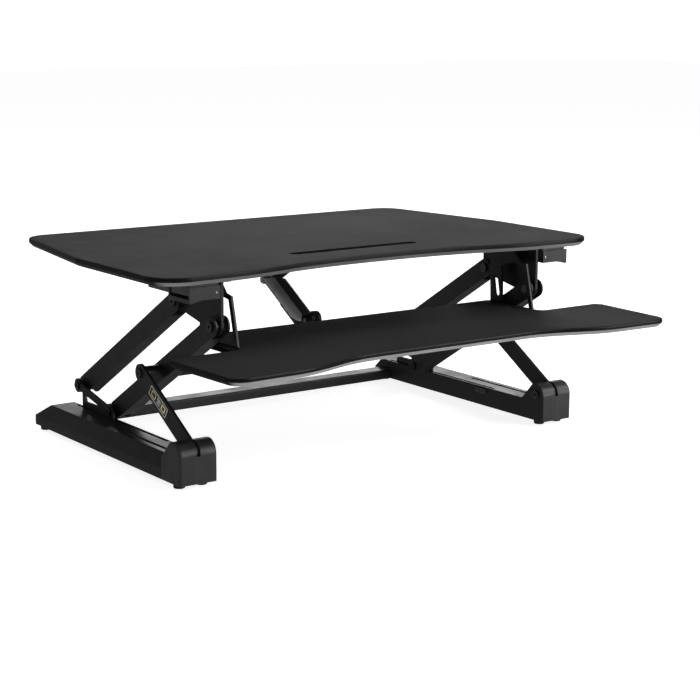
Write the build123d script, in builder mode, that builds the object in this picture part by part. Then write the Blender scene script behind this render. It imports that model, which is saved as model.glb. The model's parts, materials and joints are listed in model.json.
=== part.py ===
from build123d import *

import os
from math import cos, radians, sin

# A standing desk converter: a desktop with a keyboard tray below it, lifted by a parallel
# linkage on each side. X runs across the desk, +Y points to the rear and Z is up. The origin
# is on the floor, under the middle of the overall box. All sizes are in millimetres.

# ---- desktop and keyboard tray ----
desk_half_width = 446.0
desk_rear_half_width = 401.0
desk_rear_y = 377.5
desk_kink_y = 92.0
desk_front_corner_y = -188.0
desk_front_middle_y = -143.0
desk_top_z = 338.5
desk_thickness = 14.0
desk_bottom_z = desk_top_z - desk_thickness
edge_radius = 2.5
edge_bevel = 6.5
slot_length = 264.0
slot_width = 22.0
slot_depth = 8.0
slot_y = -64.0
liner_wall = 1.5

tray_half_width = 445.0
tray_centre_half_width = 309.0
tray_top_z = 219.5
tray_thickness = 13.0
tray_bottom_z = tray_top_z - tray_thickness
tray_rear_y = -57.5
tray_wing_rear_y = -195.0
tray_front_y = -378.3
tray_front_middle_y = -334.5

# ---- linkage, seen from the side ----
arm_half_length = 187.0
rest_angle = 31.4
front_pivot_y = -150.5
front_pivot_z = 56.0
rear_pivot_step_y = 114.3
rear_pivot_step_z = 24.0

reach = arm_half_length * cos(radians(rest_angle))
rise = arm_half_length * sin(radians(rest_angle))
front_pivot = (front_pivot_y, front_pivot_z)
mid_pivot = (front_pivot_y + reach, front_pivot_z + rise)
carriage_pivot = (front_pivot_y + 2 * reach, front_pivot_z)
desk_pivot = (front_pivot_y, front_pivot_z + 2 * rise)
rear_low_pivot = (carriage_pivot[0] + rear_pivot_step_y, carriage_pivot[1] + rear_pivot_step_z)
rear_top_pivot = (desk_pivot[0] + rear_pivot_step_y, desk_pivot[1] + rear_pivot_step_z)

# ---- linkage, seen from the front: distances from the middle plane ----
arm_inner_x = 312.5
arm_width = 26.0
arm_outer_x = arm_inner_x + arm_width
arm_depth = 31.5
arm_wall = 3.0
pin_radius = 5.0
pin_clearance = 0.08
pin_head_radius = 8.0
tongue_x = 322.5
tongue_thickness = 5.0
link_x = 371.7
link_thickness = 5.0
link_depth = 31.0
shaft_radius = 9.0
cross_tube_radius = 13.0

# ---- base rails ----
foot_height = 8.0
rail_inner_x = 342.5
rail_outer_x = 409.0
rail_slope_x = 388.0
rail_side_z = 25.0
rail_top_z = 43.5
rail_front_y = -113.0
rail_rear_y = 333.5
rail_slope_length = 21.0
rail_wall = 2.0
toe_front_y = -170.5
toe_top_z = 75.0
toe_face_z = 53.0
toe_seam_x = 378.0
link_gap = (371.0, 378.0)
crossbar_y = 280.5
crossbar_depth = 36.0
crossbar_height = 19.0
track_x = (351.2, 365.0)
track_z = (10.5, 41.5)
track_wall = 3.0
track_front_y = -30.0
track_rear_y = 300.0
cheek_slot_rear_y = 290.0
cheek_x = 346.0
cheek_thickness = 4.0
slide_gap = 0.3

# ---- handles and gas spring ----
handle_x = (333.0, 388.0)
handle_y = (-171.0, -41.0)
lever_rear_y = -106.5
lever_pin_x = 339.0
lever_pin_z = 308.0
spring_x = -24.0
spring_tilt = 31.6
spring_length = 192.9
spring_radius = 7.0
shackle_length = 80.0
shackle_tilt = -30.2
spring_eye = (
    mid_pivot[0] + spring_length * cos(radians(spring_tilt)),
    mid_pivot[1] + spring_length * sin(radians(spring_tilt)),
)
hanger_pivot = (
    spring_eye[0] - shackle_length * cos(radians(shackle_tilt)),
    spring_eye[1] - shackle_length * sin(radians(shackle_tilt)),
)
cable_radius = 2.5

os.makedirs("parts", exist_ok=True)


def save(piece, name):
    piece.label = name
    export_step(piece, f"parts/{name}.step")


def mirrored(piece):
    """The same piece on the other side of the middle plane."""
    with BuildPart() as other:
        mirror(piece, about=Plane.YZ)
    return other.part


def both_sides(piece, name):
    """Writes a right-hand piece and its left-hand twin."""
    save(piece, f"{name}_right")
    save(mirrored(piece), f"{name}_left")


def side_plane(x):
    """A plane facing +X, whose own axes are the object's Y and Z."""
    return Plane.YZ.offset(x)


def along(start, end, distance):
    """The point at a distance from start towards end, in the side view."""
    gap_y = end[0] - start[0]
    gap_z = end[1] - start[1]
    length = (gap_y**2 + gap_z**2) ** 0.5
    return (start[0] + gap_y * distance / length, start[1] + gap_z * distance / length)


def middle(start, end):
    return ((start[0] + end[0]) / 2, (start[1] + end[1]) / 2)


def distance_between(start, end):
    return ((end[0] - start[0]) ** 2 + (end[1] - start[1]) ** 2) ** 0.5


def slot_between(start, end, width):
    """A bar with round ends on two centres, in the current sketch."""
    SlotCenterPoint(middle(start, end), end, width)


# ---------------------------------------------------------------- desktop
with BuildPart() as desktop:
    with BuildSketch(Plane.XY.offset(desk_bottom_z)) as desk_outline:
        with BuildLine():
            Polyline(
                (318, -182),
                (desk_half_width, desk_front_corner_y),
                (desk_half_width, desk_kink_y),
                (desk_rear_half_width, desk_rear_y),
                (-desk_rear_half_width, desk_rear_y),
                (-desk_half_width, desk_kink_y),
                (-desk_half_width, desk_front_corner_y),
                (-318, -182),
            )
            Spline(
                (-318, -182),
                (-185, -158),
                (0, desk_front_middle_y),
                (185, -158),
                (318, -182),
                tangents=[(1, 0.05), (1, -0.05)],
            )
        make_face()
        fillet(desk_outline.vertices().filter_by_position(Axis.Y, -189, -187), 52)
        fillet(desk_outline.vertices().filter_by_position(Axis.Y, 91, 93), 60)
        fillet(desk_outline.vertices().filter_by_position(Axis.Y, 377, 378), 46)
    extrude(amount=desk_thickness)
    fillet(desktop.faces().sort_by(Axis.Z)[-1].edges(), edge_radius)
    chamfer(desktop.faces().sort_by(Axis.Z)[0].edges(), edge_bevel)
    with BuildSketch(Plane.XY.offset(desk_top_z - slot_depth)):
        with Locations((0, slot_y)):
            SlotOverall(slot_length, slot_width)
    extrude(amount=slot_depth, mode=Mode.SUBTRACT)
save(desktop.part, "desktop")

with BuildPart() as slot_liner:
    with BuildSketch(Plane.XY.offset(desk_top_z - slot_depth)):
        with Locations((0, slot_y)):
            SlotOverall(slot_length, slot_width)
    extrude(amount=slot_depth)
    with BuildSketch(Plane.XY.offset(desk_top_z - slot_depth + liner_wall)):
        with Locations((0, slot_y)):
            SlotOverall(slot_length - 2 * liner_wall, slot_width - 2 * liner_wall)
    extrude(amount=slot_depth, mode=Mode.SUBTRACT)
save(slot_liner.part, "tablet_slot_liner")

# ---------------------------------------------------------------- keyboard tray
hanger_x = 303.0
hanger_thickness = 4.0
rear_leg_foot_y = (-97.0, -66.0)
front_leg_foot_y = (-182.5, -173.0)
leg_slots = [(-97.6, -64.2), (-183.1, -166.0)]
with BuildPart() as keyboard_tray:
    with BuildSketch(Plane.XY.offset(tray_bottom_z)) as tray_outline:
        with BuildLine():
            Polyline(
                (330, -374.5),
                (438, tray_front_y),
                (tray_half_width, -208),
                (435, tray_wing_rear_y),
                (tray_centre_half_width, tray_wing_rear_y),
                (tray_centre_half_width, tray_rear_y),
                (-tray_centre_half_width, tray_rear_y),
                (-tray_centre_half_width, tray_wing_rear_y),
                (-435, tray_wing_rear_y),
                (-tray_half_width, -208),
                (-438, tray_front_y),
                (-330, -374.5),
            )
            Spline((-330, -374.5), (-150, tray_front_middle_y), tangents=[(1, 0.03), (1, 0)])
            Line((-150, tray_front_middle_y), (150, tray_front_middle_y))
            Spline((150, tray_front_middle_y), (330, -374.5), tangents=[(1, 0), (1, -0.03)])
        make_face()
        fillet(tray_outline.vertices().filter_by_position(Axis.Y, -379, -378), 28)
        inner_corners = tray_outline.vertices().filter_by_position(Axis.Y, -196, -194)
        fillet(inner_corners.filter_by_position(Axis.X, -310, 310), 14)
        fillet(tray_outline.vertices().filter_by_position(Axis.Y, -58, -57), 12)
    extrude(amount=tray_thickness)
    fillet(keyboard_tray.faces().sort_by(Axis.Z)[-1].edges(), edge_radius)
    chamfer(keyboard_tray.faces().sort_by(Axis.Z)[0].edges(), edge_bevel)
    with BuildSketch(Plane.XY.offset(tray_bottom_z)):
        for side in (-1, 1):
            for low, high in leg_slots:
                with Locations((side * (hanger_x + hanger_thickness / 2), (low + high) / 2)):
                    Rectangle(hanger_thickness + 0.6, high - low)
    extrude(amount=tray_thickness, mode=Mode.SUBTRACT)
save(keyboard_tray.part, "keyboard_tray")

# ---------------------------------------------------------------- base rails


def rail_body(inset):
    """The rail's outer shape, or its hollow when it is inset by the wall."""
    top = rail_top_z - inset
    with BuildPart() as body:
        with BuildSketch(Plane.XZ.offset(-rail_front_y)) as section:
            with BuildLine():
                Polyline(
                    (rail_inner_x + inset, foot_height),
                    (rail_outer_x - inset, foot_height),
                    (rail_outer_x - inset, rail_side_z - inset / 2),
                    (rail_slope_x - inset / 2, top),
                    (rail_inner_x + inset, top),
                    close=True,
                )
            make_face()
            if inset == 0:
                upper = section.vertices().filter_by_position(Axis.Z, 20, 50)
                fillet(upper.sort_by(Axis.X)[1:], 5)
        extrude(amount=-(rail_rear_y - rail_front_y - inset))
        with BuildSketch(side_plane(rail_inner_x)):
            with BuildLine():
                Polyline(
                    (rail_front_y - 1, foot_height),
                    (rail_rear_y - inset, foot_height),
                    (rail_rear_y - inset, rail_side_z - inset / 2),
                    (rail_rear_y - rail_slope_length - inset / 2, top),
                    (rail_front_y - 1, top),
                    close=True,
                )
            make_face()
        extrude(amount=rail_outer_x - rail_inner_x, mode=Mode.INTERSECT)
    return body.part


def toe_profile():
    """Side profile of the raised toe."""
    with BuildSketch() as profile:
        with BuildLine():
            front = Line((toe_front_y, foot_height), (toe_front_y, toe_face_z))
            nose = ThreePointArc(
                front @ 1,
                (toe_front_y + 6.4, toe_face_z + 15.6),
                (toe_front_y + 22, toe_top_z),
            )
            Polyline(
                nose @ 1,
                (toe_front_y + 30, toe_top_z - 1),
                (rail_front_y, rail_top_z),
                (rail_front_y, foot_height),
                front @ 0,
            )
        make_face()
    return profile.sketch_local


with BuildPart() as rail:
    add(rail_body(0))
    add(rail_body(rail_wall), mode=Mode.SUBTRACT)
    # The inner wall rises at the front as an ear that carries the front pivot.
    with BuildSketch(side_plane(rail_inner_x)):
        add(toe_profile())
    extrude(amount=rail_wall)
    # Slot for the carriage cheek, with a round rear end.
    with BuildSketch(Plane.XY.offset(rail_top_z - rail_wall - 1)):
        with Locations((cheek_x + cheek_thickness / 2, (track_front_y + cheek_slot_rear_y) / 2)):
            SlotOverall(cheek_slot_rear_y - track_front_y, cheek_thickness + 2, rotation=90)
    extrude(amount=rail_wall + 2, mode=Mode.SUBTRACT)
    # Slot that the short link folds into.
    with BuildSketch(Plane.XY.offset(rail_top_z - rail_wall - 1)):
        with Locations(((link_gap[0] + link_gap[1]) / 2, rail_front_y + 86)):
            SlotOverall(190, link_gap[1] - link_gap[0], rotation=90)
    extrude(amount=rail_wall + 2, mode=Mode.SUBTRACT)
    with BuildSketch(side_plane(rail_inner_x)):
        with Locations(front_pivot):
            Circle(6)
        with Locations((crossbar_y + 9, 17.5), (crossbar_y + 27, 17.5)):
            Circle(2.6)
    extrude(amount=rail_wall, mode=Mode.SUBTRACT)
both_sides(rail.part, "rail")

with BuildPart() as toe_outer:
    with BuildSketch(side_plane(link_gap[1])):
        add(toe_profile())
    extrude(amount=rail_outer_x - link_gap[1])
    nose_edges = toe_outer.edges().filter_by(GeomType.CIRCLE).sort_by(Axis.X)
    fillet(nose_edges[-1], 4)
    with BuildSketch(side_plane(link_gap[1])):
        with Locations(front_pivot):
            Circle(6)
    extrude(amount=22, mode=Mode.SUBTRACT)
both_sides(toe_outer.part, "toe_cap_outer")

with BuildPart() as toe_inner:
    with BuildSketch(side_plane(rail_inner_x + rail_wall)):
        add(toe_profile())
    extrude(amount=toe_seam_x - rail_inner_x - rail_wall)
    # The pocket and notch leave room for the short link to swing.
    with BuildSketch(side_plane(link_gap[0])):
        with Locations((toe_front_y + 40, toe_face_z + 20)):
            Rectangle(90, 42)
        with Locations((toe_front_y + 34, 60)):
            Rectangle(60, 50)
    extrude(amount=link_gap[1] - link_gap[0], mode=Mode.SUBTRACT)
    with BuildSketch(side_plane(rail_inner_x + rail_wall)):
        with Locations(front_pivot):
            Circle(6)
    extrude(amount=40, mode=Mode.SUBTRACT)
both_sides(toe_inner.part, "toe_cap_inner")

with BuildPart() as pivot_bolt:
    with BuildSketch(side_plane(rail_inner_x - 3)):
        with Locations(front_pivot):
            Circle(pin_head_radius)
    extrude(amount=3)
    with BuildSketch(side_plane(rail_inner_x)):
        with Locations(front_pivot):
            Circle(6)
    extrude(amount=link_gap[1] + 22 - rail_inner_x)
    with BuildSketch(side_plane(rail_inner_x - 3)):
        with Locations(front_pivot):
            RegularPolygon(3.0, 6)
    extrude(amount=1.8, mode=Mode.SUBTRACT)
    mirror(about=Plane.YZ)
save(pivot_bolt.part, "front_pivot_bolts")

with BuildPart() as track:
    with BuildSketch(Plane.XZ.offset(-track_front_y)):
        with BuildLine():
            Polyline(
                (track_x[0], track_z[0]),
                (track_x[1], track_z[0]),
                (track_x[1], track_z[1]),
                (track_x[0], track_z[1]),
                (track_x[0], track_z[1] - track_wall),
                (track_x[1] - track_wall, track_z[1] - track_wall),
                (track_x[1] - track_wall, track_z[0] + track_wall),
                (track_x[0], track_z[0] + track_wall),
                close=True,
            )
        make_face()
    extrude(amount=-(track_rear_y - track_front_y))
both_sides(track.part, "guide_track")

with BuildPart() as crossbar:
    bar_plane = side_plane(-rail_inner_x)
    with BuildSketch(bar_plane):
        with Locations((crossbar_y + crossbar_depth / 2, foot_height + crossbar_height / 2)):
            RectangleRounded(crossbar_depth, crossbar_height, 3)
            RectangleRounded(crossbar_depth - 4, crossbar_height - 4, 1.5, mode=Mode.SUBTRACT)
    extrude(amount=2 * rail_inner_x)
    with BuildSketch(bar_plane):
        with Locations((crossbar_y + crossbar_depth / 2, foot_height + crossbar_height / 2)):
            Rectangle(crossbar_depth - 4, crossbar_height - 4)
    extrude(amount=10)
    with BuildSketch(side_plane(rail_inner_x)):
        with Locations((crossbar_y + crossbar_depth / 2, foot_height + crossbar_height / 2)):
            Rectangle(crossbar_depth - 4, crossbar_height - 4)
    extrude(amount=-10)
    for x in (-rail_inner_x, rail_inner_x - 9):
        with BuildSketch(side_plane(x)):
            with Locations((crossbar_y + 9, 17.5), (crossbar_y + 27, 17.5)):
                Circle(2.6)
        extrude(amount=9, mode=Mode.SUBTRACT)
save(crossbar.part, "rear_crossbar")

with BuildPart() as crossbar_screws:
    with BuildSketch(side_plane(rail_inner_x - 9)):
        with Locations((crossbar_y + 9, 17.5), (crossbar_y + 27, 17.5)):
            Circle(2.6)
    extrude(amount=11)
    with BuildSketch(side_plane(rail_inner_x + rail_wall)):
        with Locations((crossbar_y + 9, 17.5), (crossbar_y + 27, 17.5)):
            Circle(4.5)
    extrude(amount=2.6)
    mirror(about=Plane.YZ)
save(crossbar_screws.part, "crossbar_screws")

foot_places = [(396, 318), (356, -146), (396, -146), (356, 318)]
with BuildPart() as feet:
    with BuildSketch(Plane.XY):
        with Locations(*foot_places):
            Circle(9.5)
    extrude(amount=foot_height)
    chamfer(feet.faces().sort_by(Axis.Z)[0:4].edges(), 1.2)
    mirror(about=Plane.YZ)
save(feet.part, "rubber_feet")

with BuildPart() as foot_plates:
    with BuildSketch(Plane.XY.offset(foot_height)):
        with Locations((376, 318)):
            Rectangle(62, 24)
    extrude(amount=3)
    mirror(about=Plane.YZ)
save(foot_plates.part, "rear_foot_plates")

with BuildPart() as stop_tab:
    with BuildSketch(side_plane(rail_inner_x - 2.4)):
        with Locations((2, 36)):
            RectangleRounded(30, 9, 3)
    extrude(amount=2.4)
    mirror(about=Plane.YZ)
save(stop_tab.part, "travel_stops")


# ---------------------------------------------------------------- links and torsion shaft
with BuildPart() as link:
    with BuildSketch(side_plane(link_x)):
        slot_between(front_pivot, mid_pivot, link_depth)
        with Locations(front_pivot):
            Circle(6 + pin_clearance, mode=Mode.SUBTRACT)
        with Locations(mid_pivot):
            Circle(6, mode=Mode.SUBTRACT)
    extrude(amount=link_thickness)
both_sides(link.part, "short_link")

collar_radius = 10.5
with BuildPart() as torsion_shaft:
    with BuildSketch(side_plane(-link_x)):
        with Locations(mid_pivot):
            Circle(shaft_radius)
    extrude(amount=2 * link_x)
    for x in (-link_x - link_thickness, link_x):
        with BuildSketch(side_plane(x)):
            with Locations(mid_pivot):
                Circle(6)
        extrude(amount=link_thickness)
save(torsion_shaft.part, "torsion_shaft")

with BuildPart() as collars:
    with BuildSketch(side_plane(arm_outer_x + 0.4)):
        with Locations(mid_pivot):
            Circle(collar_radius)
            Circle(shaft_radius, mode=Mode.SUBTRACT)
    extrude(amount=link_x - arm_outer_x - 0.4)
    mirror(about=Plane.YZ)
save(collars.part, "shaft_collars")

with BuildPart() as shaft_caps:
    with BuildSketch(side_plane(link_x + link_thickness)):
        with Locations(mid_pivot):
            Circle(pin_head_radius)
    extrude(amount=3.5)
    fillet(shaft_caps.faces().sort_by(Axis.X)[-1].edges(), 1.0)
    with BuildSketch(side_plane(link_x + link_thickness + 3.5)):
        with Locations(mid_pivot):
            RegularPolygon(3.0, 6)
    extrude(amount=-2, mode=Mode.SUBTRACT)
    mirror(about=Plane.YZ)
save(shaft_caps.part, "shaft_end_bolts")

label_start = along(front_pivot, mid_pivot, 88)
label_end = along(front_pivot, mid_pivot, 148)
with BuildPart() as label_plate:
    label_middle = middle(label_start, label_end)
    with BuildSketch(side_plane(-link_x - link_thickness)):
        with Locations(Location((label_middle[0], label_middle[1], 0), (0, 0, rest_angle))):
            RectangleRounded(60, 19, 2)
    extrude(amount=-0.4)
save(label_plate.part, "caution_label")


# ---------------------------------------------------------------- lifting arms
def channel_arm(low, high, low_hole, web_from_low, web_to_high):
    """A pressed channel between two pivots, open on top, with round ends."""
    with BuildPart() as arm:
        with BuildSketch(side_plane(arm_inner_x)):
            slot_between(low, high, arm_depth)
        extrude(amount=arm_width)
        # The inside is cleared from above, which leaves two walls and the web below.
        length = distance_between(low, high)
        start = along(low, high, web_from_low)
        end = along(low, high, length - web_to_high)
        centre = middle(start, end)
        clear_width = arm_width - 2 * arm_wall
        with BuildSketch(side_plane(arm_inner_x + arm_wall)):
            slot_between(low, high, arm_depth + 2)
        extrude(amount=clear_width, mode=Mode.SUBTRACT)
        with BuildSketch(side_plane(arm_inner_x + arm_wall)):
            with Locations(Location((centre[0], centre[1], 0), (0, 0, -rest_angle))):
                with Locations((0, -arm_depth / 2 + arm_wall / 2)):
                    Rectangle(distance_between(start, end), arm_wall)
        extrude(amount=clear_width)
        with BuildSketch(side_plane(arm_inner_x)):
            with Locations(low):
                Circle(low_hole)
            with Locations(high):
                Circle(pin_radius + pin_clearance)
        extrude(amount=arm_width, mode=Mode.SUBTRACT)
    return arm.part


lower_arm_hole = pin_radius + pin_clearance
with BuildPart() as main_arm:
    add(channel_arm(carriage_pivot, desk_pivot, lower_arm_hole, 14, 18))
    # A boss through the channel carries the bearing for the torsion shaft.
    with BuildSketch(side_plane(arm_inner_x)):
        with Locations(mid_pivot):
            Circle(cross_tube_radius)
    extrude(amount=arm_width)
    with BuildSketch(side_plane(arm_inner_x)):
        with Locations(mid_pivot):
            Circle(shaft_radius + 2)
    extrude(amount=arm_width, mode=Mode.SUBTRACT)
both_sides(main_arm.part, "main_arm")

with BuildPart() as bushings:
    with BuildSketch(side_plane(arm_inner_x)):
        with Locations(mid_pivot):
            Circle(shaft_radius + 2)
            Circle(shaft_radius + pin_clearance, mode=Mode.SUBTRACT)
    extrude(amount=arm_width)
    mirror(about=Plane.YZ)
save(bushings.part, "shaft_bushings")

with BuildPart() as cross_tube:
    with BuildSketch(side_plane(-arm_inner_x)):
        with Locations(mid_pivot):
            Circle(cross_tube_radius)
            Circle(shaft_radius + 1.5, mode=Mode.SUBTRACT)
    extrude(amount=2 * arm_inner_x)
save(cross_tube.part, "arm_cross_tube")

with BuildPart() as rear_arm:
    add(channel_arm(rear_low_pivot, rear_top_pivot, lower_arm_hole, 14, 26))
both_sides(rear_arm.part, "rear_arm")


# ---------------------------------------------------------------- carriages
foot_front_y = carriage_pivot[0] - 14
foot_rear_y = carriage_pivot[0] + 60
foot_z = 16.0
cheek_rear_y = rear_low_pivot[0] - 17
above_rail_z = rail_top_z + 1.5
with BuildPart() as cheek:
    with BuildSketch(side_plane(cheek_x)):
        slot_between(carriage_pivot, rear_low_pivot, 13)
        with Locations(carriage_pivot, rear_low_pivot):
            Circle(12.5)
        with BuildLine():
            Polyline(
                (foot_front_y, foot_z),
                (foot_rear_y, foot_z),
                (foot_rear_y, above_rail_z),
                (cheek_rear_y, above_rail_z),
                (cheek_rear_y, rear_low_pivot[1]),
                (cheek_rear_y - 8, rear_low_pivot[1]),
                (cheek_rear_y - 12, front_pivot_z),
                (foot_front_y, front_pivot_z),
                close=True,
            )
        make_face()
        with Locations(carriage_pivot, rear_low_pivot):
            Circle(pin_radius, mode=Mode.SUBTRACT)
    extrude(amount=cheek_thickness)
both_sides(cheek.part, "carriage_cheek")

shoe_low_z = track_z[0] + track_wall + slide_gap
shoe_high_z = track_z[1] - track_wall - slide_gap
shoe_outer_x = track_x[1] - track_wall - slide_gap
with BuildPart() as shoe:
    with BuildSketch(side_plane(cheek_x + cheek_thickness)):
        with Locations(((foot_front_y + foot_rear_y) / 2, (shoe_low_z + shoe_high_z) / 2)):
            RectangleRounded(foot_rear_y - foot_front_y, shoe_high_z - shoe_low_z, 4)
    extrude(amount=shoe_outer_x - cheek_x - cheek_thickness)
both_sides(shoe.part, "glide_shoe")

with BuildPart() as carriage_pins:
    with BuildSketch(side_plane(arm_inner_x - 3.8)):
        with Locations(carriage_pivot, rear_low_pivot):
            Circle(pin_head_radius)
    extrude(amount=3.5)
    with BuildSketch(side_plane(arm_inner_x - 0.3)):
        with Locations(carriage_pivot, rear_low_pivot):
            Circle(pin_radius)
    extrude(amount=cheek_x + cheek_thickness - arm_inner_x + 0.3)
    with BuildSketch(side_plane(arm_outer_x + 0.3)):
        with Locations(carriage_pivot, rear_low_pivot):
            Circle(8)
    extrude(amount=cheek_x - arm_outer_x - 0.3)
    with BuildSketch(side_plane(cheek_x + cheek_thickness)):
        with Locations(carriage_pivot, rear_low_pivot):
            Circle(7)
    extrude(amount=3.2)
    with BuildSketch(side_plane(cheek_x + cheek_thickness + 3.2)):
        with Locations(carriage_pivot, rear_low_pivot):
            RegularPolygon(3.0, 6)
    extrude(amount=-2, mode=Mode.SUBTRACT)
both_sides(carriage_pins.part, "carriage_pins")


# ---------------------------------------------------------------- desktop brackets
bracket_flange_x = 309.0
bracket_screw_x = 315.0
bracket_rear_y = rear_top_pivot[0] + 16
bracket_front_y = desk_pivot[0] - 13
screw_ys = (bracket_front_y + 18, bracket_rear_y - 18)
with BuildPart() as top_bracket:
    with BuildSketch(side_plane(tongue_x)):
        with BuildLine():
            Polyline(
                (bracket_front_y, desk_bottom_z),
                (bracket_rear_y, desk_bottom_z),
                (bracket_rear_y, rear_top_pivot[1]),
                (rear_top_pivot[0] + 2, rear_top_pivot[1] - 12),
                (desk_pivot[0] + 3, desk_pivot[1] - 12),
                (bracket_front_y, desk_pivot[1]),
                close=True,
            )
        make_face()
        with Locations(desk_pivot, rear_top_pivot):
            Circle(13)
        with Locations(desk_pivot, rear_top_pivot):
            Circle(pin_radius, mode=Mode.SUBTRACT)
    extrude(amount=tongue_thickness)
    with BuildSketch(Plane.XY.offset(desk_bottom_z - 3)):
        with Locations(((tongue_x + bracket_flange_x) / 2, (bracket_front_y + bracket_rear_y) / 2)):
            Rectangle(tongue_x - bracket_flange_x, bracket_rear_y - bracket_front_y)
    extrude(amount=3)
    with BuildSketch(Plane.XY.offset(desk_bottom_z - 3)):
        with Locations(*[(bracket_screw_x, y) for y in screw_ys]):
            Circle(2.2)
    extrude(amount=3, mode=Mode.SUBTRACT)
both_sides(top_bracket.part, "top_bracket")

with BuildPart() as upper_pins:
    with BuildSketch(side_plane(arm_inner_x - 3.8)):
        with Locations(desk_pivot, rear_top_pivot):
            Circle(pin_head_radius)
    extrude(amount=3.5)
    with BuildSketch(side_plane(arm_inner_x - 0.3)):
        with Locations(desk_pivot, rear_top_pivot):
            Circle(pin_radius)
    extrude(amount=arm_width + 0.6)
    with BuildSketch(side_plane(arm_outer_x + 0.3)):
        with Locations(desk_pivot, rear_top_pivot):
            Circle(pin_head_radius)
    extrude(amount=3)
    with BuildSketch(side_plane(arm_outer_x + 3.3)):
        with Locations(desk_pivot, rear_top_pivot):
            RegularPolygon(3.0, 6)
    extrude(amount=-2, mode=Mode.SUBTRACT)
    mirror(about=Plane.YZ)
save(upper_pins.part, "upper_pivot_bolts")

with BuildPart() as spacers:
    for x_low, x_high in (
        (arm_inner_x + arm_wall + 0.3, tongue_x),
        (tongue_x + tongue_thickness, arm_outer_x - arm_wall - 0.3),
    ):
        with BuildSketch(side_plane(x_low)):
            with Locations(desk_pivot, rear_top_pivot):
                Circle(9)
                Circle(pin_radius, mode=Mode.SUBTRACT)
        extrude(amount=x_high - x_low)
    mirror(about=Plane.YZ)
save(spacers.part, "pivot_spacers")

# Tray hangers: a plate with a broad slotted rear leg and a slim front leg.
with BuildPart() as hanger:
    with BuildSketch(side_plane(hanger_x)):
        with BuildLine():
            Polyline(
                (-61, desk_bottom_z),
                (rear_leg_foot_y[1], tray_bottom_z - 3),
                (front_leg_foot_y[0], tray_bottom_z - 3),
                (-159.5, 297),
                (-143, 300),
                (-120, desk_bottom_z),
                close=True,
            )
        make_face()
        with BuildLine():
            Polyline(
                (-94, 286),
                (rear_leg_foot_y[0], tray_bottom_z),
                (front_leg_foot_y[1], tray_bottom_z),
                (-152, 291),
                (-125, 296),
                close=True,
            )
        make_face(mode=Mode.SUBTRACT)
        slot_start = (-79, 262)
        slot_end = (-84, 236)
        SlotCenterPoint(middle(slot_start, slot_end), slot_end, 11, mode=Mode.SUBTRACT)
    extrude(amount=hanger_thickness)
    with BuildSketch(Plane.XY.offset(tray_bottom_z - 3)):
        with Locations((hanger_x + hanger_thickness - 16, (front_leg_foot_y[0] + rear_leg_foot_y[1]) / 2)):
            Rectangle(32, rear_leg_foot_y[1] - front_leg_foot_y[0])
    extrude(amount=3)
    with BuildSketch(Plane.XY.offset(desk_bottom_z - 3)):
        with Locations((hanger_x + hanger_thickness - 15, -90)):
            Rectangle(30, 58)
    extrude(amount=3)
    with BuildSketch(Plane.XY.offset(tray_bottom_z - 3)):
        with Locations((288, -160), (288, -85)):
            Circle(2.2)
    extrude(amount=3, mode=Mode.SUBTRACT)
    with BuildSketch(Plane.XY.offset(desk_bottom_z - 3)):
        with Locations((288, -108), (288, -72)):
            Circle(2.2)
    extrude(amount=3, mode=Mode.SUBTRACT)
both_sides(hanger.part, "tray_hanger")


desk_screw_places = [(bracket_screw_x, y) for y in screw_ys] + [(288, -108), (288, -72)]
tray_screw_places = [(288, -160), (288, -85)]
with BuildPart() as board_screws:
    for places, board_z in ((desk_screw_places, desk_bottom_z), (tray_screw_places, tray_bottom_z)):
        with BuildSketch(Plane.XY.offset(board_z)):
            with Locations(*places):
                Circle(2.2)
        extrude(amount=-3)
        with BuildSketch(Plane.XY.offset(board_z - 3)):
            with Locations(*places):
                Circle(4.2)
        extrude(amount=-2.4)
    mirror(about=Plane.YZ)
save(board_screws.part, "board_screws")


# ---------------------------------------------------------------- release handles
nest_y = (handle_y[0] + 4, lever_rear_y - 4.5)
with BuildPart() as handle_housing:
    with BuildSketch(Plane.XY.offset(desk_bottom_z)):
        with Locations(((handle_x[0] + handle_x[1]) / 2, (nest_y[0] + handle_y[1]) / 2)):
            RectangleRounded(handle_x[1] - handle_x[0], handle_y[1] - nest_y[0], 4)
    extrude(amount=-4)
    with BuildSketch(Plane.XY.offset(desk_bottom_z - 4)):
        with Locations(((handle_x[0] + handle_x[1] - 3) / 2, (nest_y[0] + nest_y[1]) / 2)):
            Rectangle(handle_x[1] - handle_x[0] - 3, nest_y[1] - nest_y[0])
    extrude(amount=-15.5)
    with BuildSketch(Plane.XY.offset(desk_bottom_z - 4)):
        with Locations(((handle_x[0] + handle_x[1]) / 2, (lever_rear_y + 1 + handle_y[1]) / 2)):
            RectangleRounded(handle_x[1] - handle_x[0], handle_y[1] - lever_rear_y - 1, 4)
    extrude(amount=-16.5)
    with BuildSketch(Plane.XZ.offset(-nest_y[0])):
        with Locations((lever_pin_x, lever_pin_z)):
            Circle(2)
    extrude(amount=-(nest_y[1] - nest_y[0]), mode=Mode.SUBTRACT)
both_sides(handle_housing.part, "handle_housing")

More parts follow.
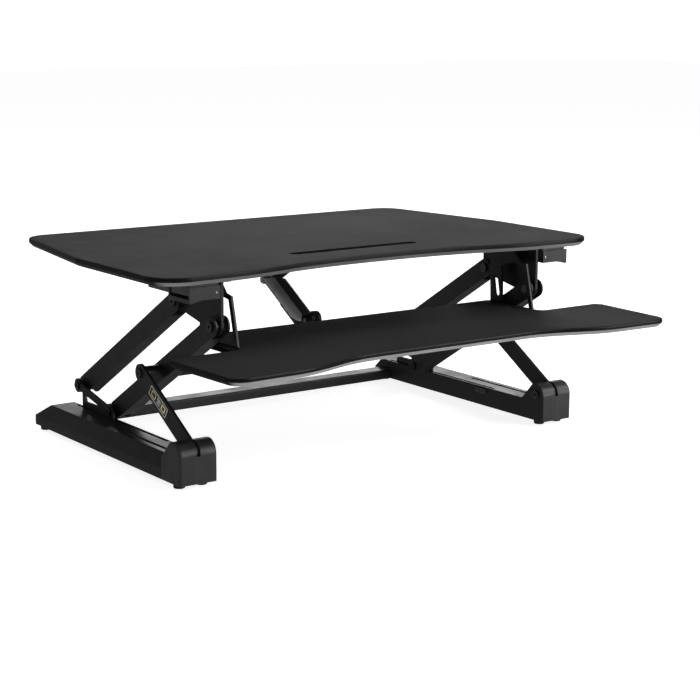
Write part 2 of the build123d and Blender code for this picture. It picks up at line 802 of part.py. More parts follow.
lever_low_z = 296.0
lever_face_z = 319.0
with BuildPart() as lever:
    with BuildSketch(Plane.XZ.offset(-handle_y[0])) as lever_face:
        with BuildLine():
            floor = Polyline(
                (handle_x[0], lever_face_z),
                (handle_x[0], lever_low_z + 2),
                (handle_x[0] + 28, lever_low_z + 2),
            )
            lip = Spline(
                floor @ 1,
                (handle_x[1] - 5, lever_low_z - 2),
                tangents=[(1, 0), (1, -0.3)],
            )
            Polyline(
                lip @ 1,
                (handle_x[1], lever_low_z - 2),
                (handle_x[1], lever_face_z),
                (handle_x[0], lever_face_z),
            )
        make_face()
    extrude(amount=-3)
    with BuildSketch(Plane.XY.offset(lever_low_z + 2)):
        with Locations(((handle_x[0] + handle_x[1]) / 2, (handle_y[0] + lever_rear_y) / 2)):
            Rectangle(handle_x[1] - handle_x[0], lever_rear_y - handle_y[0])
    extrude(amount=2.5)
    with BuildSketch(Plane.XY.offset(lever_low_z - 2)):
        with Locations((handle_x[1] - 2, (handle_y[0] + lever_rear_y) / 2)):
            Rectangle(4, lever_rear_y - handle_y[0])
    extrude(amount=6)
    with BuildSketch(Plane.XZ.offset(-(lever_rear_y - 3))):
        with Locations(((handle_x[0] + handle_x[1]) / 2, (lever_low_z + 2 + 315) / 2)):
            Rectangle(handle_x[1] - handle_x[0], 315 - lever_low_z - 2)
    extrude(amount=-3)
    with BuildSketch(Plane.XZ.offset(-handle_y[0])):
        with Locations((lever_pin_x, lever_pin_z)):
            Circle(2 + pin_clearance)
    extrude(amount=-(lever_rear_y - handle_y[0]), mode=Mode.SUBTRACT)
both_sides(lever.part, "release_lever")

with BuildPart() as lever_pins:
    with BuildSketch(Plane.XZ.offset(-handle_y[0] - 0.5)):
        with Locations((lever_pin_x, lever_pin_z)):
            Circle(2)
    extrude(amount=-(lever_rear_y - handle_y[0] - 0.5))
    mirror(about=Plane.YZ)
save(lever_pins.part, "lever_pins")


# ---------------------------------------------------------------- gas spring
spring_frame = Plane(
    origin=(spring_x, mid_pivot[0], mid_pivot[1]),
    x_dir=(1, 0, 0),
    z_dir=(0, cos(radians(spring_tilt)), sin(radians(spring_tilt))),
)
base_half_width = 13.0
eye_radius = 7.5
spring_pin_radius = 4.0
eye_bore_radius = 5.4
cylinder_start = 34.0
cylinder_end = 128.0


def beside_spring(x):
    """A sketch plane facing +X, with its first axis along the spring and its second across it."""
    return Plane(
        origin=(x, mid_pivot[0], mid_pivot[1]),
        x_dir=(0, cos(radians(spring_tilt)), sin(radians(spring_tilt))),
        z_dir=(1, 0, 0),
    )


def across_spring(height):
    """A sketch plane at a height over the spring, with its second axis along the spring."""
    tilt = radians(spring_tilt)
    start_y = mid_pivot[0] - height * sin(tilt)
    start_z = mid_pivot[1] + height * cos(tilt)
    return Plane(origin=(spring_x, start_y, start_z), x_dir=(1, 0, 0), z_dir=(0, -sin(tilt), cos(tilt)))


with BuildPart() as spring_base:
    with BuildSketch(side_plane(spring_x - base_half_width)):
        with Locations(mid_pivot):
            Circle(cross_tube_radius + 6)
    extrude(amount=2 * base_half_width)
    with BuildSketch(spring_frame.offset(cross_tube_radius)):
        RectangleRounded(2 * base_half_width, 24, 3)
    extrude(amount=cylinder_start - cross_tube_radius)
    with BuildSketch(side_plane(spring_x - base_half_width)):
        with Locations(mid_pivot):
            Circle(cross_tube_radius + 0.08)
    extrude(amount=2 * base_half_width, mode=Mode.SUBTRACT)
save(spring_base.part, "spring_base")

with BuildPart() as spring_cylinder:
    with BuildSketch(spring_frame.offset(cylinder_start)):
        Circle(spring_radius)
    extrude(amount=cylinder_end - cylinder_start)
    fillet(spring_cylinder.edges().filter_by(GeomType.CIRCLE), 1.5)
    with BuildSketch(spring_frame.offset(cylinder_end)):
        Circle(4.05)
    extrude(amount=-(cylinder_end - cylinder_start - 6), mode=Mode.SUBTRACT)
save(spring_cylinder.part, "spring_cylinder")

# The lock head is a round-ended plate beside the cylinder, which a block clamps onto it.
lock_x = (-8.0, -2.0)
lock_bolts = [(70.4, 195.1), (43.4, 200.7)]
with BuildPart() as lock_head:
    with BuildSketch(side_plane(lock_x[0])):
        SlotCenterPoint(middle(*lock_bolts), lock_bolts[1], 28)
        with Locations(along(mid_pivot, spring_eye, 92)):
            Circle(10)
    extrude(amount=lock_x[1] - lock_x[0])
    with BuildSketch(beside_spring(spring_x)):
        with Locations((93, 0)):
            Rectangle(14, 12)
    extrude(amount=lock_x[0] - spring_x)
    with BuildSketch(spring_frame.offset(cylinder_start)):
        Circle(spring_radius)
    extrude(amount=cylinder_end - cylinder_start, mode=Mode.SUBTRACT)
save(lock_head.part, "lock_head")

with BuildPart() as lock_screws:
    with BuildSketch(side_plane(lock_x[0])):
        with Locations(*lock_bolts):
            Circle(4.2)
    extrude(amount=-2.2)
    with BuildSketch(side_plane(lock_x[0] - 2.2)):
        with Locations(*lock_bolts):
            RegularPolygon(2.0, 6)
    extrude(amount=1.4, mode=Mode.SUBTRACT)
save(lock_screws.part, "lock_screws")

# The rod ends in a forged eye.
rod_start = 70.0
rod_eye_half_width = 6.0
with BuildPart() as spring_rod:
    with BuildSketch(spring_frame.offset(rod_start)):
        Circle(4)
    extrude(amount=spring_length - eye_radius + 1 - rod_start)
    with BuildSketch(spring_frame.offset(spring_length - eye_radius - 12)):
        Circle(5.5)
    extrude(amount=14)
    with BuildSketch(side_plane(spring_x - rod_eye_half_width)):
        with Locations(spring_eye):
            Circle(eye_radius)
    extrude(amount=2 * rod_eye_half_width)
    with BuildSketch(side_plane(spring_x - rod_eye_half_width)):
        with Locations(spring_eye):
            Circle(eye_bore_radius)
    extrude(amount=2 * rod_eye_half_width, mode=Mode.SUBTRACT)
save(spring_rod.part, "spring_rod")

# The guard is a folded strip: a floor over the spring and a wall on its right.
guard_x = (-39.7, -13.7)
guard_wall = 2.0
guard_floor = (8.2, 10.2)
guard_wall_height = 29.4
with BuildPart() as guard:
    with BuildSketch(beside_spring(guard_x[1])):
        with BuildLine():
            Polyline(
                (80, guard_floor[0]),
                (spring_length, guard_floor[0]),
                (spring_length - 8, guard_floor[1] + 1),
                (158, guard_wall_height),
                (64, guard_wall_height),
                close=True,
            )
        make_face()
        with Locations((spring_length, 0)):
            Circle(9)
        with Locations((spring_length - 6, 4)):
            Rectangle(12, 9)
    extrude(amount=guard_wall)
    with BuildSketch(beside_spring(guard_x[0])):
        with Locations(((64 + 185) / 2, (guard_floor[0] + guard_floor[1]) / 2)):
            Rectangle(185 - 64, guard_floor[1] - guard_floor[0])
    extrude(amount=guard_x[1] - guard_x[0])
    # The lower end of the floor narrows to a blunt point.
    with BuildSketch(across_spring(guard_floor[0] - 1)):
        with BuildLine():
            Polyline(
                (guard_x[0] - spring_x - 1, 60),
                (guard_x[0] - spring_x - 1, 82),
                (guard_x[0] - spring_x + 6, 68),
                (guard_x[0] - spring_x + 14, 64.5),
                (guard_x[1] - spring_x, 82),
                (guard_x[1] - spring_x, 60),
                close=True,
            )
        make_face()
    extrude(amount=4, mode=Mode.SUBTRACT)
    with BuildSketch(side_plane(spring_x + rod_eye_half_width)):
        with Locations(spring_eye):
            Circle(eye_radius)
    extrude(amount=guard_x[1] - spring_x - rod_eye_half_width)
    with BuildSketch(side_plane(spring_x)):
        with Locations(spring_eye):
            Circle(eye_bore_radius)
    extrude(amount=20, mode=Mode.SUBTRACT)
save(guard.part, "spring_guard")

shackle_x = (-9.0, -5.0)
with BuildPart() as shackle:
    with BuildSketch(side_plane(shackle_x[0])):
        slot_between(hanger_pivot, spring_eye, 18)
        with Locations(hanger_pivot):
            Circle(spring_pin_radius + pin_clearance, mode=Mode.SUBTRACT)
        with Locations(spring_eye):
            Circle(spring_pin_radius, mode=Mode.SUBTRACT)
    extrude(amount=shackle_x[1] - shackle_x[0])
save(shackle.part, "spring_shackle")

with BuildPart() as eye_pin:
    with BuildSketch(side_plane(spring_x - rod_eye_half_width - 3)):
        with Locations(spring_eye):
            Circle(6.5)
    extrude(amount=2.5)
    with BuildSketch(side_plane(spring_x - rod_eye_half_width - 0.5)):
        with Locations(spring_eye):
            Circle(spring_pin_radius)
    extrude(amount=shackle_x[1] - spring_x + rod_eye_half_width + 0.5)
save(eye_pin.part, "spring_eye_pin")

hanger_ear_x = (-4.7, -0.7)
with BuildPart() as spring_hanger:
    with BuildSketch(Plane.XY.offset(desk_bottom_z)):
        with Locations((hanger_ear_x[0] + 22, hanger_pivot[0])):
            Rectangle(44, 44)
    extrude(amount=-3)
    with BuildSketch(side_plane(hanger_ear_x[0])):
        with BuildLine():
            Polyline(
                (hanger_pivot[0] - 18, desk_bottom_z - 3),
                (hanger_pivot[0] + 18, desk_bottom_z - 3),
                (hanger_pivot[0] + 9, hanger_pivot[1]),
                (hanger_pivot[0] - 9, hanger_pivot[1]),
                close=True,
            )
        make_face()
        with Locations(hanger_pivot):
            Circle(9)
            Circle(spring_pin_radius, mode=Mode.SUBTRACT)
    extrude(amount=hanger_ear_x[1] - hanger_ear_x[0])
save(spring_hanger.part, "spring_hanger")

with BuildPart() as hanger_pin:
    with BuildSketch(side_plane(shackle_x[0] - 0.5)):
        with Locations(hanger_pivot):
            Circle(spring_pin_radius)
    extrude(amount=hanger_ear_x[1] - shackle_x[0] + 0.5)
save(hanger_pin.part, "spring_hanger_pin")


# ---------------------------------------------------------------- release cables
cable_z = 311.0
cable_stop_y = 62.0
cable_points = [
    (360, handle_y[1], cable_z),
    (360, -8, cable_z),
    (336, 22, 314),
    (298, 34, 317),
    (246, 38, 318),
    (190, 38, 316),
    (134, 42, 318),
    (82, 50, 317),
    (44, cable_stop_y, 317),
    (12, cable_stop_y, 317),
]


def corner_radius(before, corner, after):
    """As large an arc as the two runs beside a corner allow."""
    into = corner - before
    out_of = after - corner
    turn = into.get_angle(out_of)
    shorter = min(into.length, out_of.length)
    return 0.45 * shorter / (sin(radians(turn / 2)) / cos(radians(turn / 2)))


def cable_tube(points):
    route = [Vector(*point) for point in points]
    radii = [corner_radius(*route[i - 1 : i + 2]) for i in range(1, len(route) - 1)]
    print("cable radii", [round(radius) for radius in radii])
    with BuildPart() as tube:
        with BuildLine() as path:
            FilletPolyline(*route, radius=radii)
        path_length = sum(edge.length for edge in path.edges())
        with BuildSketch(Plane(origin=path.line @ 0, z_dir=path.line % 0)):
            Circle(cable_radius)
        sweep(path=path.wire())
    ideal = 3.14159265 * cable_radius**2 * path_length
    print("cable length", round(path_length), "volume ratio", round(tube.part.volume / ideal, 4))
    return tube.part


both_sides(cable_tube(cable_points), "release_cable")

clip_places = [(246, 38), (134, 43)]
with BuildPart() as cable_clips:
    with BuildSketch(Plane.XY.offset(desk_bottom_z)):
        with Locations(*clip_places):
            Rectangle(9, 20)
    extrude(amount=-3.6)
    mirror(about=Plane.YZ)
    # Both cables end in a stop block at the middle.
    with BuildSketch(Plane.XY.offset(desk_bottom_z)):
        with Locations((0, cable_stop_y)):
            Rectangle(24, 16)
    extrude(amount=-12)
save(cable_clips.part, "cable_clips")
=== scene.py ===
"""Looks, light and camera for the standing desk converter. Every shown piece is a CAD node."""

import json
import math

import bpy
from mathutils import Matrix, Vector

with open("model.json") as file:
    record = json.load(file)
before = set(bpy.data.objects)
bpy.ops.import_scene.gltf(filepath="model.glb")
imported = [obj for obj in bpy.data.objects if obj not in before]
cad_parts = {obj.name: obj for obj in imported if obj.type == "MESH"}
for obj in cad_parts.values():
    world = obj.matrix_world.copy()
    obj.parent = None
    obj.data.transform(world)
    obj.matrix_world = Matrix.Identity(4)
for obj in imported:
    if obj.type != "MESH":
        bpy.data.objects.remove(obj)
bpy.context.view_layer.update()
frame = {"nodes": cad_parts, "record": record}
nodes = frame["nodes"]
scene = bpy.context.scene

MM = 0.001


# ---------------------------------------------------------------- node helpers
def new_material(name):
    """An empty node material, with its Principled shader already joined to the output."""
    material = bpy.data.materials.new(name)
    material.use_nodes = True
    tree = material.node_tree
    tree.nodes.clear()
    output = tree.nodes.new("ShaderNodeOutputMaterial")
    shader = tree.nodes.new("ShaderNodeBsdfPrincipled")
    tree.links.new(shader.outputs["BSDF"], output.inputs["Surface"])
    return material, tree, shader


def put(tree, socket, value):
    """Joins a value or another node's output to an input."""
    if isinstance(value, bpy.types.NodeSocket):
        tree.links.new(value, socket)
    elif value is not None:
        socket.default_value = value


def cover(tree, shader, colour, roughness, normal):
    """Gives the shader its colour, roughness and relief."""
    put(tree, shader.inputs["Base Color"], colour)
    put(tree, shader.inputs["Roughness"], roughness)
    put(tree, shader.inputs["Normal"], normal)


def math_node(tree, operation, *values):
    node = tree.nodes.new("ShaderNodeMath")
    node.operation = operation
    for socket, value in zip(node.inputs, values):
        put(tree, socket, value)
    return node.outputs[0]


def times(tree, first, second):
    return math_node(tree, "MULTIPLY", first, second)


def vector_dot(tree, vector, direction):
    node = tree.nodes.new("ShaderNodeVectorMath")
    node.operation = "DOT_PRODUCT"
    put(tree, node.inputs[0], vector)
    put(tree, node.inputs[1], direction)
    return node.outputs["Value"]


def mix_colour(tree, factor, first, second):
    node = tree.nodes.new("ShaderNodeMix")
    node.data_type = "RGBA"
    put(tree, node.inputs[0], factor)
    put(tree, node.inputs[6], first)
    put(tree, node.inputs[7], second)
    return node.outputs[2]


def mix_value(tree, factor, first, second):
    node = tree.nodes.new("ShaderNodeMix")
    put(tree, node.inputs[0], factor)
    put(tree, node.inputs[2], first)
    put(tree, node.inputs[3], second)
    return node.outputs[0]


def ramp(tree, value, low, high):
    """0 at low and 1 at high, with a smooth step between them."""
    node = tree.nodes.new("ShaderNodeMapRange")
    node.interpolation_type = "SMOOTHSTEP"
    put(tree, node.inputs[0], value)
    put(tree, node.inputs[1], low)
    put(tree, node.inputs[2], high)
    return node.outputs[0]


def object_coordinates(tree, stretch=(1, 1, 1)):
    """Object coordinates, which are in metres."""
    place = tree.nodes.new("ShaderNodeTexCoord").outputs["Object"]
    node = tree.nodes.new("ShaderNodeMapping")
    put(tree, node.inputs["Vector"], place)
    put(tree, node.inputs["Scale"], stretch)
    return node.outputs[0]


def noise(tree, scale, detail=2.0, roughness=0.5, stretch=(1, 1, 1)):
    node = tree.nodes.new("ShaderNodeTexNoise")
    put(tree, node.inputs["Vector"], object_coordinates(tree, stretch))
    put(tree, node.inputs["Scale"], scale)
    put(tree, node.inputs["Detail"], detail)
    put(tree, node.inputs["Roughness"], roughness)
    return node.outputs["Fac"]


def speckle(tree, scale):
    """Distance to the nearest of many scattered points, for grains and pores."""
    node = tree.nodes.new("ShaderNodeTexVoronoi")
    put(tree, node.inputs["Vector"], object_coordinates(tree))
    put(tree, node.inputs["Scale"], scale)
    return node.outputs["Distance"]


def bump(tree, height, strength, distance, normal=None):
    node = tree.nodes.new("ShaderNodeBump")
    put(tree, node.inputs["Strength"], strength)
    put(tree, node.inputs["Distance"], distance)
    put(tree, node.inputs["Height"], height)
    put(tree, node.inputs["Normal"], normal)
    return node.outputs[0]


def soft_edges(tree, radius):
    """A rounded normal, and how near an edge the point is, from 0 to 1."""
    node = tree.nodes.new("ShaderNodeBevel")
    node.samples = 6
    put(tree, node.inputs["Radius"], radius)
    flat = tree.nodes.new("ShaderNodeNewGeometry").outputs["Normal"]
    alike = vector_dot(tree, node.outputs[0], flat)
    return node.outputs[0], ramp(tree, alike, 0.995, 0.86)


def smudges(tree, scale, low, high):
    """Slow changes in roughness, as handling and cleaning leave."""
    return mix_value(tree, ramp(tree, noise(tree, scale, 3.0, 0.6), 0.35, 0.7), low, high)


# ---------------------------------------------------------------- materials
def laminate():
    """Matte black laminate with fine pores, a glossier dark edge and a front bevel painted paler: a
    painted reflection of the floor.
    """
    material, tree, shader = new_material("laminate_black")
    smooth, cloudy, pore = (0.026, 0.026, 0.0265, 1), (0.032, 0.032, 0.0325, 1), (0.024, 0.024, 0.024, 1)
    band, edge_wear_and_painted_light = (0.004, 0.004, 0.004, 1), (0.30, 0.30, 0.30, 1)
    normal = tree.nodes.new("ShaderNodeNewGeometry").outputs["Normal"]
    upright = math_node(tree, "ABSOLUTE", vector_dot(tree, normal, (0, 0, 1)))
    face = ramp(tree, upright, 0.93, 0.995)

    cloud = ramp(tree, noise(tree, 5.0, 4.0, 0.55), 0.3, 0.7)
    fleck = ramp(tree, speckle(tree, 900), 0.15, 0.6)
    field = mix_colour(tree, cloud, smooth, cloudy)
    field = mix_colour(tree, times(tree, fleck, 0.25), field, pore)

    # The front bevel, facing forward and down, is painted pale grey and made patchy with noise: a painted
    # reflection of the floor, set by the face's direction.
    forward_facing = ramp(tree, vector_dot(tree, normal, (0, -1, 0)), 0.2, 0.6)
    downward_facing = ramp(tree, vector_dot(tree, normal, (0, 0, -1)), 0.35, 0.6)
    bevel = times(tree, forward_facing, downward_facing)
    bevel = times(tree, bevel, mix_value(tree, noise(tree, 9, 2.0), 0.55, 1.0))
    edge = mix_colour(tree, bevel, band, edge_wear_and_painted_light)

    colour = mix_colour(tree, face, edge, field)
    roughness = mix_value(tree, face, 0.34, smudges(tree, 7.0, 0.74, 0.80))
    grain = math_node(tree, "ADD", noise(tree, 1400, 2.0), times(tree, fleck, 0.5))
    cover(tree, shader, colour, roughness, bump(tree, grain, mix_value(tree, face, 0.03, 0.16), 0.0002))
    put(tree, shader.inputs["Specular IOR Level"], mix_value(tree, face, 0.2, 0.15))
    return material


def powder_coat(name, tone, low, high, edge_tone):
    """Satin powder coat: orange peel, slow sheen changes, and edges worn a little brighter."""
    material, tree, shader = new_material(name)
    dark, light = (tone * 0.86,) * 3 + (1,), (tone * 1.12,) * 3 + (1,)
    edge_wear_and_painted_light = (edge_tone, edge_tone, edge_tone * 1.02, 1)
    rounded, edge = soft_edges(tree, 0.0009)
    worn = times(tree, edge, ramp(tree, noise(tree, 140, 4.0, 0.65), 0.35, 0.75))
    cloud = ramp(tree, noise(tree, 11, 3.0), 0.3, 0.7)
    body = mix_colour(tree, cloud, dark, light)
    colour = mix_colour(tree, times(tree, worn, 0.55), body, edge_wear_and_painted_light)
    peel = math_node(tree, "ADD", noise(tree, 620, 2.0), times(tree, noise(tree, 2400, 1.0), 0.4))
    cover(tree, shader, colour, smudges(tree, 16, low, high), bump(tree, peel, 0.14, 0.0003, rounded))
    return material


def guard_sheet():
    """A coated guard whose wide outer face is painted pale grey by its direction, as a painted
    reflection, with fine marks and a painted highlight on its edges.
    """
    material, tree, shader = new_material("guard_sheet")
    # Faces turned towards this direction are painted pale grey: a painted reflection set by which way the
    # face points.
    outward = (0, -0.85, 0.52)
    painted_reflection_grey, painted_reflection_pale = (0.70, 0.70, 0.71, 1), (0.80, 0.80, 0.81, 1)
    coated, coated_light = (0.012, 0.012, 0.012, 1), (0.018, 0.018, 0.018, 1)
    # The pale tone mixed in near the edges is a painted highlight along the guard's bends and rims.
    edge_wear_and_painted_light = (0.40, 0.40, 0.40, 1)
    rounded, edge = soft_edges(tree, 0.0008)
    normal = tree.nodes.new("ShaderNodeTexCoord").outputs["Normal"]
    reflection_facing = ramp(tree, vector_dot(tree, normal, outward), 0.5, 0.9)
    cloud = ramp(tree, noise(tree, 30, 3.0), 0.3, 0.7)
    painted_reflection_tone = mix_colour(tree, cloud, painted_reflection_grey, painted_reflection_pale)
    coat = mix_colour(tree, cloud, coated, coated_light)
    colour = mix_colour(tree, times(tree, edge, 0.6), mix_colour(tree, reflection_facing, coat, painted_reflection_tone), edge_wear_and_painted_light)
    marks = noise(tree, 900, 2.0, 0.5, (6, 1, 1))
    cover(tree, shader, colour, smudges(tree, 40, 0.36, 0.5), bump(tree, marks, 0.12, 0.0002, rounded))
    return material


def moulded_plastic(name, tone, roughness, gloss=0.5):
    """Black moulding with a spark-eroded grain, a soft edge painted much brighter as a painted highlight,
    and faint flow lines.
    """
    material, tree, shader = new_material(name)
    dark = (tone * 0.85, tone * 0.85, tone * 0.86, 1)
    light = (tone * 1.15, tone * 1.15, tone * 1.17, 1)
    # Near the edges the colour is painted four times brighter: a painted highlight along the rounded
    # edges.
    painted_edge_highlight = (tone * 4.0,) * 3 + (1,)
    rounded, edge = soft_edges(tree, 0.0014)
    flow = noise(tree, 18, 2.0, 0.5, (1, 6, 1))
    body = mix_colour(tree, ramp(tree, flow, 0.3, 0.7), dark, light)
    colour = mix_colour(tree, times(tree, edge, 0.8), body, painted_edge_highlight)
    grain = math_node(tree, "ADD", speckle(tree, 1300), noise(tree, 900, 2.0))
    sheen = smudges(tree, 30, roughness - 0.05, roughness + 0.07)
    cover(tree, shader, colour, sheen, bump(tree, grain, 0.18, 0.00025, rounded))
    put(tree, shader.inputs["Specular IOR Level"], gloss)
    return material


def bright_metal(name, tone, roughness, stretch):
    """Plated or ground steel, with fine marks that stretch across some axes."""
    material, tree, shader = new_material(name)
    clean = (tone, tone, tone * 0.99, 1)
    dull = (tone * 0.62, tone * 0.61, tone * 0.58, 1)
    rounded = soft_edges(tree, 0.0005)[0]
    stain = ramp(tree, noise(tree, 260, 4.0, 0.65), 0.35, 0.75)
    colour = mix_colour(tree, times(tree, stain, 0.5), clean, dull)
    marks = noise(tree, 500, 2.0, 0.5, stretch)
    sheen = mix_value(tree, stain, roughness, roughness + 0.12)
    cover(tree, shader, colour, sheen, bump(tree, marks, 0.12, 0.00015, rounded))
    put(tree, shader.inputs["Metallic"], 1.0)
    return material


def rubber():
    """Black rubber with a little dust in its grain."""
    material, tree, shader = new_material("foot_rubber")
    clean, dusty = (0.012, 0.012, 0.012, 1), (0.03, 0.029, 0.028, 1)
    rounded = soft_edges(tree, 0.0008)[0]
    dust = ramp(tree, noise(tree, 90, 4.0, 0.7), 0.5, 0.8)
    colour = mix_colour(tree, dust, clean, dusty)
    grain = noise(tree, 1500, 3.0)
    cover(tree, shader, colour, mix_value(tree, dust, 0.62, 0.8), bump(tree, grain, 0.3, 0.0002, rounded))
    return material


def cable_jacket():
    """Black jacket with the faint lay of the strands under it."""
    material, tree, shader = new_material("cable_jacket")
    dark, light = (0.008, 0.008, 0.008, 1), (0.02, 0.02, 0.02, 1)
    lay = tree.nodes.new("ShaderNodeTexWave")
    put(tree, lay.inputs["Vector"], object_coordinates(tree, (1, 0.4, 1)))
    put(tree, lay.inputs["Scale"], 220)
    colour = mix_colour(tree, noise(tree, 60, 3), dark, light)
    cover(tree, shader, colour, smudges(tree, 50, 0.38, 0.5), bump(tree, lay.outputs["Fac"], 0.2, 0.0002))
    return material


def label_film(start, end):
    """A plain label: a thin pale border and blocks of colour, with no lettering."""
    material, tree, shader = new_material("label_film")
    paper, pale, yellow = (0.012, 0.012, 0.012, 1), (0.62, 0.62, 0.55, 1), (0.80, 0.76, 0.28, 1)
    along = (Vector(end) - Vector(start)).normalized()
    across = Vector((0, -along.z, along.y))
    middle = (Vector(start) + Vector(end)) / 2
    place = tree.nodes.new("ShaderNodeTexCoord").outputs["Object"]
    u = math_node(tree, "SUBTRACT", vector_dot(tree, place, along), middle.dot(along))
    v = math_node(tree, "SUBTRACT", vector_dot(tree, place, across), middle.dot(across))

    def within(position, centre, half):
        """1 where the position is less than half from the centre, in millimetres."""
        offset = math_node(tree, "ABSOLUTE", math_node(tree, "SUBTRACT", position, centre * MM))
        return math_node(tree, "LESS_THAN", offset, half * MM)

    def block(centre_u, centre_v, half_u, half_v):
        return times(tree, within(u, centre_u, half_u), within(v, centre_v, half_v))

    colour = mix_colour(tree, block(0, 0, 28.6, 8.1), pale, paper)
    for centre_u, centre_v, half_u, half_v, tint in (
        (-18, 0, 6.5, 5.2, yellow),
        (-18, 0, 4.0, 3.0, paper),
        (-2, 4.2, 6.5, 0.7, pale),
        (-2, 1.4, 6.5, 0.7, pale),
        (-2, -1.4, 5.0, 0.7, pale),
        (-2, -4.2, 6.0, 0.7, pale),
        (16, 0, 7.0, 5.2, yellow),
        (16, 0, 5.6, 3.9, paper),
    ):
        colour = mix_colour(tree, block(centre_u, centre_v, half_u, half_v), colour, tint)
    scuffed = mix_colour(tree, times(tree, noise(tree, 300, 3), 0.2), colour, paper)
    relief = bump(tree, noise(tree, 200, 2), 0.08, 0.0002)
    cover(tree, shader, scuffed, smudges(tree, 60, 0.25, 0.4), relief)
    return material


ACROSS_X, ALONG_X = (1, 4, 4), (6, 1, 1)
# The handle housings get a lighter copy of the frame's black powder coat: painted light on their lit
# front faces.
lit_handle_coat_copy = powder_coat("handle_coat_painted_lighter", 0.045, 0.34, 0.44, 0.14)
black_bolt = bright_metal("black_oxide_bolt", 0.14, 0.20, ACROSS_X)

slot_material = {
    "laminate": laminate(),
    "frame_steel": powder_coat("powder_coat", 0.010, 0.38, 0.48, 0.05),
    "cap_plastic": moulded_plastic("cap_plastic", 0.025, 0.40),
    "bright_steel": bright_metal("bolt_steel", 0.62, 0.2, ACROSS_X),
    "rod_steel": bright_metal("rod_steel", 0.75, 0.12, ALONG_X),
    "glide_plastic": moulded_plastic("glide_plastic", 0.07, 0.45),
    "foot_rubber": rubber(),
    "cable_jacket": cable_jacket(),
}
own_material = {
    "tablet_slot_liner": moulded_plastic("slot_plastic", 0.002, 0.75, gloss=0.1),
    "lock_head": moulded_plastic("dark_plastic", 0.003, 0.5),
    "front_pivot_bolts": black_bolt,
    "shaft_end_bolts": black_bolt,
    "upper_pivot_bolts": black_bolt,
    "carriage_pins_left": black_bolt,
    "carriage_pins_right": black_bolt,
    "spring_guard": guard_sheet(),
    "handle_housing_left": lit_handle_coat_copy,
    "handle_housing_right": lit_handle_coat_copy,
}

# The label lies along the left short link, between these two distances from the link's pivot.
PIVOT_Y, PIVOT_Z, LINK_ANGLE = -0.1505, 0.056, math.radians(31.4)
LABEL_START, LABEL_END = 0.088, 0.148
label_ends = [
    (0, PIVOT_Y + distance * math.cos(LINK_ANGLE), PIVOT_Z + distance * math.sin(LINK_ANGLE))
    for distance in (LABEL_START, LABEL_END)
]
own_material["caution_label"] = label_film(*label_ends)

for part in frame["record"]["subparts"]:
    shown = nodes[part["node"]]
    finish = own_material.get(part["node"]) or slot_material[part["material_slot"]]
    if not shown.material_slots:
        shown.data.materials.append(finish)
    for place in shown.material_slots:
        place.material = finish


# ---------------------------------------------------------------- floor and backdrop
FLOOR_REACH, WALL_HEIGHT = 14.0, 12.0
FLOOR_GLOW, WALL_GLOW = 0.86, 1.2


def stage_sheet(name, sheet_corners, glow):
    """A flat white studio surface that isn't part of the object, nor mirrored in it."""
    mesh = bpy.data.meshes.new(name)
    mesh.from_pydata(sheet_corners, [], [(0, 1, 2, 3)])
    sheet = bpy.data.objects.new(name, mesh)
    scene.collection.objects.link(sheet)
    paper, tree, shader = new_material(name + "_paper")
    put(tree, shader.inputs["Base Color"], (0.8, 0.8, 0.8, 1))
    put(tree, shader.inputs["Roughness"], smudges(tree, 0.6, 0.86, 0.94))
    put(tree, shader.inputs["Specular IOR Level"], 0.1)
    put(tree, shader.inputs["Emission Color"], (1, 1, 1, 1))
    put(tree, shader.inputs["Emission Strength"], glow)
    mesh.materials.append(paper)
    sheet.visible_glossy = False
    return sheet


corners = [(x * FLOOR_REACH, y * FLOOR_REACH) for x, y in ((-1, -1), (1, -1), (1, 1), (-1, 1))]
stage_sheet("floor", [(x, y, 0) for x, y in corners], FLOOR_GLOW)
for number, (start, end) in enumerate(zip(corners, corners[1:] + corners[:1])):
    wall_corners = [(*start, 0), (*end, 0), (*end, WALL_HEIGHT), (*start, WALL_HEIGHT)]
    wall = stage_sheet(f"backdrop_{number}", wall_corners, WALL_GLOW)
    wall.visible_diffuse = False


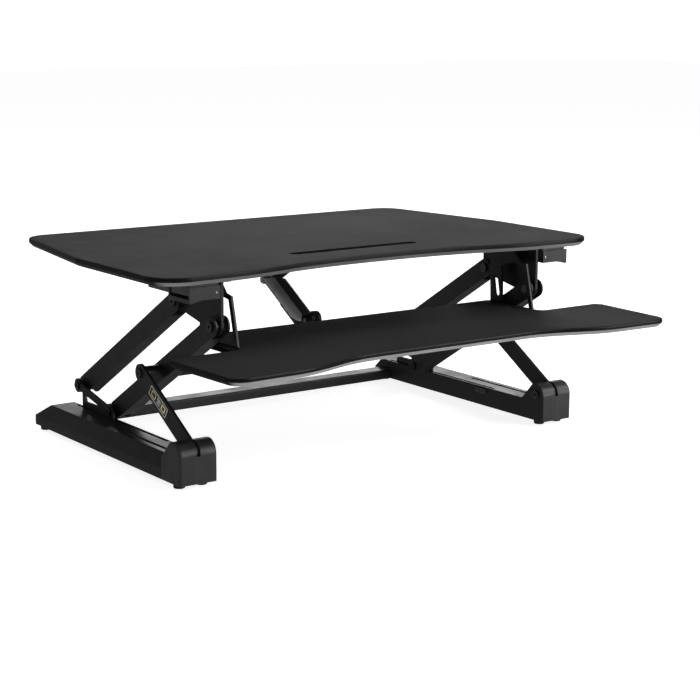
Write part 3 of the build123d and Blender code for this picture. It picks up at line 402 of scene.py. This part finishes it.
# ---------------------------------------------------------------- light
world = bpy.data.worlds.new("studio")
scene.world = world
world.use_nodes = True
background = world.node_tree.nodes["Background"]
background.inputs["Color"].default_value = (0.9, 0.92, 0.95, 1)
background.inputs["Strength"].default_value = 0.16


def softbox(name, place, target, width, height, power):
    """A rectangular lamp, in metres and watts, that points at the target."""
    data = bpy.data.lights.new(name, "AREA")
    data.shape = "RECTANGLE"
    data.size = width
    data.size_y = height
    data.energy = power
    light = bpy.data.objects.new(name, data)
    light.location = place
    aim = Vector(target) - Vector(place)
    light.rotation_euler = aim.to_track_quat("-Z", "Y").to_euler()
    scene.collection.objects.link(light)


softbox("key_light", (2.4, -2.6, 2.6), (0, 0, 0.15), 2.4, 1.6, 70)
softbox("front_light", (2.1, -2.9, 0.55), (0, 0, 0.15), 1.6, 0.8, 34)
softbox("top_light", (0.2, 0.6, 3.4), (0, 0, 0.2), 3.2, 2.4, 34)
softbox("rear_light", (3.1, 4.3, 1.75), (0.2, 0, 0.2), 2.6, 1.2, 42)


# ---------------------------------------------------------------- camera
CAMERA_PLACE = (-1.74645, -2.46636, 0.75839)
YAW, PITCH, ROLL = math.radians(35.889), math.radians(11.359), math.radians(0.343)
SENSOR_WIDTH, FOCAL_LENGTH = 36.0, 90.86

level = Vector((math.sin(YAW), math.cos(YAW), 0)) * math.cos(PITCH)
forward = level - Vector((0, 0, math.sin(PITCH)))
right = Vector((math.cos(YAW), -math.sin(YAW), 0))
upward = right.cross(forward)
right, upward = (
    right * math.cos(ROLL) + upward * math.sin(ROLL),
    upward * math.cos(ROLL) - right * math.sin(ROLL),
)
camera_data = bpy.data.cameras.new("camera")
camera_data.sensor_width = SENSOR_WIDTH
camera_data.lens = FOCAL_LENGTH
camera = bpy.data.objects.new("camera", camera_data)
turn = Matrix((right, upward, -forward)).transposed().to_4x4()
camera.matrix_world = Matrix.Translation(CAMERA_PLACE) @ turn
scene.collection.objects.link(camera)
scene.camera = camera
scene.view_settings.view_transform = "Standard"
